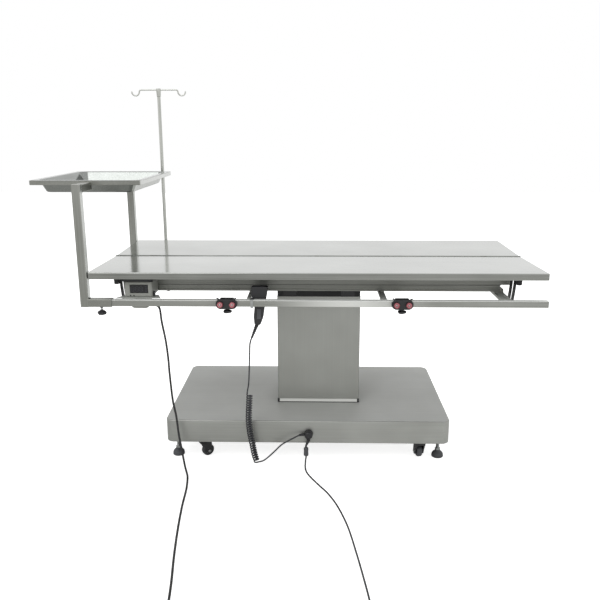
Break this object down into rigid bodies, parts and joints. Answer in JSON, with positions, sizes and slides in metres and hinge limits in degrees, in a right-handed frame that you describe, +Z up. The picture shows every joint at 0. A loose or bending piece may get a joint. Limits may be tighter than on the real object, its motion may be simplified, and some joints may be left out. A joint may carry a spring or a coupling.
{
  "type": "veterinary surgery table",
  "caption": "Stainless surgery table: a two-leaf top that tilts into a V, side rails with cord cleats, an instrument tray, a drip pole and a telescoping lift column on a wheeled base.",
  "frame": {"origin": "on the floor under the middle of the table's plan, cords left out", "axes": "+X along the table away from the tray, +Y away from the user's side, +Z up"},
  "size_m": [1.543, 1.4389, 1.178],
  "materials": {
    "top_steel": "mirror-like brushed stainless steel",
    "satin_steel": "satin stainless steel",
    "polished_steel": "polished stainless steel",
    "painted_frame": "grey painted steel",
    "zinc": "plated steel",
    "black_plastic": "moulded, matte",
    "black_rubber": "matte",
    "grey_rubber": "moulded, matte",
    "red_plastic": "moulded, semi-gloss",
    "box_grey": "moulded, satin",
    "cord_grey": "smooth sheath"
  },
  "bodies": {
    "base": {"base_cover": "satin_steel", "base_frame": "painted_frame", "column_foot_trim": "polished_steel", "inner_column": "satin_steel", "lift_motor": "zinc", "cable_gland": "black_plastic", "lift_cord_connector": "grey_rubber", "lift_cord": "cord_grey", "lift_cord_coil": "cord_grey", "lift_plug": "black_plastic", "heater_cord": "black_plastic", "heater_cord_coil": "black_plastic", "heater_plug": "black_plastic", "handset_cord": "black_plastic"},
    "middle_sleeve": {"middle_sleeve": "satin_steel"},
    "lift": {"outer_sleeve": "satin_steel", "sleeve_seal": "black_rubber", "push_rod": "zinc", "top_frame": "painted_frame", "front_rail": "satin_steel", "rear_rail": "satin_steel", "hinge_pin": "zinc", "control_box": "box_grey", "handset": "black_plastic"},
    "front_leaf": {"top_front": "top_steel", "heater_mat_front": "black_rubber", "tilt_arc_front_left": "black_plastic", "tilt_arc_front_right": "black_plastic"},
    "rear_leaf": {"top_rear": "top_steel", "heater_mat_rear": "black_rubber", "tilt_arc_rear_left": "black_plastic", "tilt_arc_rear_right": "black_plastic"},
    "foot_front_left": {"levelling_foot_front_left": "grey_rubber"},
    "foot_front_right": {"levelling_foot_front_right": "grey_rubber"},
    "foot_rear_left": {"levelling_foot_rear_left": "grey_rubber"},
    "foot_rear_right": {"levelling_foot_rear_right": "grey_rubber"},
    "fork_front_left": {"caster_fork_front_left": "grey_rubber"},
    "wheel_front_left": {"caster_wheel_front_left": "grey_rubber"},
    "fork_front_right": {"caster_fork_front_right": "grey_rubber"},
    "wheel_front_right": {"caster_wheel_front_right": "grey_rubber"},
    "fork_rear_left": {"caster_fork_rear_left": "grey_rubber"},
    "wheel_rear_left": {"caster_wheel_rear_left": "grey_rubber"},
    "fork_rear_right": {"caster_fork_rear_right": "grey_rubber"},
    "wheel_rear_right": {"caster_wheel_rear_right": "grey_rubber"},
    "tray_stand": {"tray_stand": "satin_steel"},
    "stand_knob": {"stand_knob": "black_plastic"},
    "tray": {"instrument_tray": "polished_steel"},
    "drip_clamp": {"iv_clamp": "black_plastic"},
    "drip_knob": {"iv_knob": "black_plastic"},
    "drip_pole": {"iv_pole": "polished_steel"},
    "cleat_left": {"cleat_left": "black_plastic"},
    "cleat_knob_left": {"cleat_knob_left": "black_plastic"},
    "cam_left_left": {"cam_left_left": "red_plastic"},
    "cam_left_right": {"cam_left_right": "red_plastic"},
    "cleat_right": {"cleat_right": "black_plastic"},
    "cleat_knob_right": {"cleat_knob_right": "black_plastic"},
    "cam_right_left": {"cam_right_left": "red_plastic"},
    "cam_right_right": {"cam_right_right": "red_plastic"},
    "power_switch": {"power_switch": "black_plastic"},
    "handset_rocker": {"handset_rocker": "zinc"}
  },
  "joints": [
    {"name": "lift", "type": "slide", "parent": "base", "child": "lift", "axis": [0, 0, 1], "range_m": [0, 0.4]},
    {"name": "middle_stage", "type": "slide", "parent": "base", "child": "middle_sleeve", "axis": [0, 0, 1], "range_m": [0, 0.2]},
    {"name": "front_tilt", "type": "hinge", "parent": "lift", "child": "front_leaf", "pos_m": [0.0925, -0.00847, 0.624], "axis": [-1, 0, 0], "range_deg": [0, 20]},
    {"name": "rear_tilt", "type": "hinge", "parent": "lift", "child": "rear_leaf", "pos_m": [0.0925, -0.00847, 0.624], "axis": [1, 0, 0], "range_deg": [0, 20]},
    {"name": "foot_front_left_level", "type": "slide", "parent": "base", "child": "foot_front_left", "axis": [0, 0, 1], "range_m": [-0.008, 0.01]},
    {"name": "foot_front_right_level", "type": "slide", "parent": "base", "child": "foot_front_right", "axis": [0, 0, 1], "range_m": [-0.008, 0.01]},
    {"name": "foot_rear_left_level", "type": "slide", "parent": "base", "child": "foot_rear_left", "axis": [0, 0, 1], "range_m": [-0.008, 0.01]},
    {"name": "foot_rear_right_level", "type": "slide", "parent": "base", "child": "foot_rear_right", "axis": [0, 0, 1], "range_m": [-0.008, 0.01]},
    {"name": "caster_front_left_swivel", "type": "hinge", "parent": "base", "child": "fork_front_left", "pos_m": [-0.2715, -0.21897, 0.06], "axis": [0, 0, 1], "continuous": true},
    {"name": "caster_front_left_roll", "type": "hinge", "parent": "fork_front_left", "child": "wheel_front_left", "pos_m": [-0.26132, -0.21261, 0.0205], "axis": [0.5299, -0.848, 0], "continuous": true},
    {"name": "caster_front_right_swivel", "type": "hinge", "parent": "base", "child": "fork_front_right", "pos_m": [0.4275, -0.21897, 0.06], "axis": [0, 0, 1], "continuous": true},
    {"name": "caster_front_right_roll", "type": "hinge", "parent": "fork_front_right", "child": "wheel_front_right", "pos_m": [0.42583, -0.20708, 0.0205], "axis": [0.9903, 0.1392, 0], "continuous": true},
    {"name": "caster_rear_left_swivel", "type": "hinge", "parent": "base", "child": "fork_rear_left", "pos_m": [-0.2715, 0.20203, 0.06], "axis": [0, 0, 1], "continuous": true},
    {"name": "caster_rear_left_roll", "type": "hinge", "parent": "fork_rear_left", "child": "wheel_rear_left", "pos_m": [-0.2756, 0.21331, 0.0205], "axis": [0.9397, 0.342, 0], "continuous": true},
    {"name": "caster_rear_right_swivel", "type": "hinge", "parent": "base", "child": "fork_rear_right", "pos_m": [0.4275, 0.20203, 0.06], "axis": [0, 0, 1], "continuous": true},
    {"name": "caster_rear_right_roll", "type": "hinge", "parent": "fork_rear_right", "child": "wheel_rear_right", "pos_m": [0.43061, 0.21363, 0.0205], "axis": [0.9659, -0.2588, 0], "continuous": true},
    {"name": "tray_stand_slide", "type": "slide", "parent": "lift", "child": "tray_stand", "axis": [1, 0, 0], "range_m": [-0.05, 0]},
    {"name": "stand_knob_turn", "type": "hinge", "parent": "tray_stand", "child": "stand_knob", "pos_m": [-0.5495, -0.29847, 0.5245], "axis": [0, 0, 1], "continuous": true},
    {"name": "tray_lift_out", "type": "slide", "parent": "tray_stand", "child": "tray", "axis": [0, 0, 1], "range_m": [0, 0.05]},
    {"name": "drip_clamp_slide", "type": "slide", "parent": "lift", "child": "drip_clamp", "axis": [1, 0, 0], "range_m": [-0.015, 0.6]},
    {"name": "drip_knob_turn", "type": "hinge", "parent": "drip_clamp", "child": "drip_knob", "pos_m": [-0.4795, 0.31363, 0.537], "axis": [0, 1, 0], "continuous": true},
    {"name": "drip_pole_slide", "type": "slide", "parent": "drip_clamp", "child": "drip_pole", "axis": [0, 0, 1], "range_m": [-0.15, 0.08]},
    {"name": "cleat_left_slide", "type": "slide", "parent": "lift", "child": "cleat_left", "axis": [1, 0, 0], "range_m": [-0.15, 0.03]},
    {"name": "cleat_knob_left_turn", "type": "hinge", "parent": "cleat_left", "child": "cleat_knob_left", "pos_m": [-0.1735, -0.29847, 0.5232], "axis": [0, 0, 1], "continuous": true},
    {"name": "cam_left_left_turn", "type": "hinge", "parent": "cleat_left", "child": "cam_left_left", "pos_m": [-0.1915, -0.32146, 0.53521], "axis": [0, -0.9397, 0.342], "range_deg": [0, 40], "stiffness_Nm_per_rad": 0.02},
    {"name": "cam_left_right_turn", "type": "hinge", "parent": "cleat_left", "child": "cam_left_right", "pos_m": [-0.1555, -0.32146, 0.53521], "axis": [0, 0.9397, -0.342], "range_deg": [0, 40], "stiffness_Nm_per_rad": 0.02},
    {"name": "cleat_right_slide", "type": "slide", "parent": "lift", "child": "cleat_right", "axis": [1, 0, 0], "range_m": [-0.02, 0.15]},
    {"name": "cleat_knob_right_turn", "type": "hinge", "parent": "cleat_right", "child": "cleat_knob_right", "pos_m": [0.3445, -0.29847, 0.5232], "axis": [0, 0, 1], "continuous": true},
    {"name": "cam_right_left_turn", "type": "hinge", "parent": "cleat_right", "child": "cam_right_left", "pos_m": [0.3265, -0.32146, 0.53521], "axis": [0, -0.9397, 0.342], "range_deg": [0, 40], "stiffness_Nm_per_rad": 0.02},
    {"name": "cam_right_right_turn", "type": "hinge", "parent": "cleat_right", "child": "cam_right_right", "pos_m": [0.3625, -0.32146, 0.53521], "axis": [0, 0.9397, -0.342], "range_deg": [0, 40], "stiffness_Nm_per_rad": 0.02},
    {"name": "power_switch_rock", "type": "hinge", "parent": "lift", "child": "power_switch", "pos_m": [-0.399, -0.26647, 0.5575], "axis": [0, 1, 0], "range_deg": [-8, 8]},
    {"name": "handset_rocker_rock", "type": "hinge", "parent": "lift", "child": "handset_rocker", "pos_m": [-0.0778, -0.28547, 0.5], "axis": [1, 0, 0], "range_deg": [-4, 4], "stiffness_Nm_per_rad": 0.5}
  ],
  "couplings": [
    {"joint": "middle_stage", "follows": "lift", "ratio": 0.5}
  ]
}
